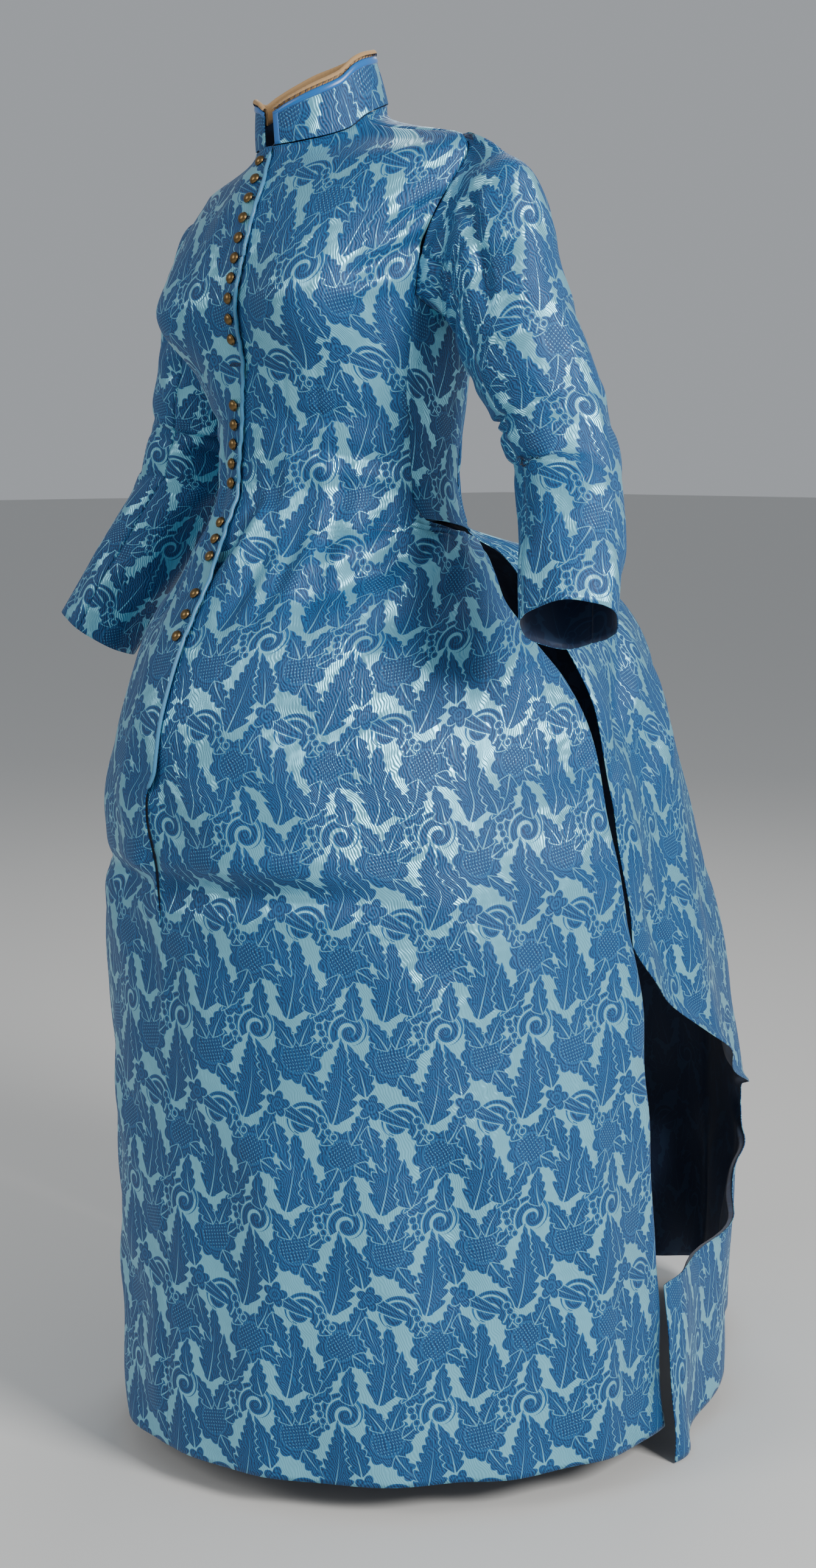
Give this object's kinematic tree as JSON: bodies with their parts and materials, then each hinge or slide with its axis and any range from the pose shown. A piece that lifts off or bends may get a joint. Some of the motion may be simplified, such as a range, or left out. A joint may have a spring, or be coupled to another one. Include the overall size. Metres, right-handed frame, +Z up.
{
  "type": "dress",
  "caption": "Bustle dress in blue figured silk, in its worn form: buttoned princess-line bodice, standing collar, long curved sleeves, full front skirt and a draped back.",
  "frame": {"origin": "between the wearer's shoulders, inside the bodice, where the wearer's body holds the dress up", "axes": "+X is the wearer's left, -Y the wearer's front, +Z up"},
  "size_m": [0.7806, 0.8058, 1.3581],
  "materials": {
    "figured_silk": "figured silk, royal blue leaves and fruit on a pale aqua satin ground",
    "plain_silk": "plain blue silk strip",
    "collar_lining": "tan cotton facing",
    "button_metal": "dark domed metal, worn"
  },
  "bodies": {
    "root": {"front_left": "figured_silk", "front_right": "figured_silk", "side_left": "figured_silk", "side_right": "figured_silk", "back_left": "figured_silk", "back_right": "figured_silk", "back_drape": "figured_silk", "sleeve_upper_left": "figured_silk", "sleeve_under_left": "figured_silk", "sleeve_upper_right": "figured_silk", "sleeve_under_right": "figured_silk", "collar": "figured_silk", "collar_strip": "plain_silk", "collar_lining": "collar_lining", "button_01": "button_metal", "button_02": "button_metal", "button_03": "button_metal", "button_04": "button_metal", "button_05": "button_metal", "button_06": "button_metal", "button_07": "button_metal", "button_08": "button_metal", "button_09": "button_metal", "button_10": "button_metal", "button_11": "button_metal", "button_12": "button_metal", "button_13": "button_metal", "button_14": "button_metal", "button_15": "button_metal", "button_16": "button_metal", "button_17": "button_metal", "button_18": "button_metal", "button_19": "button_metal", "button_20": "button_metal", "button_21": "button_metal"}
  },
  "joints": []
}
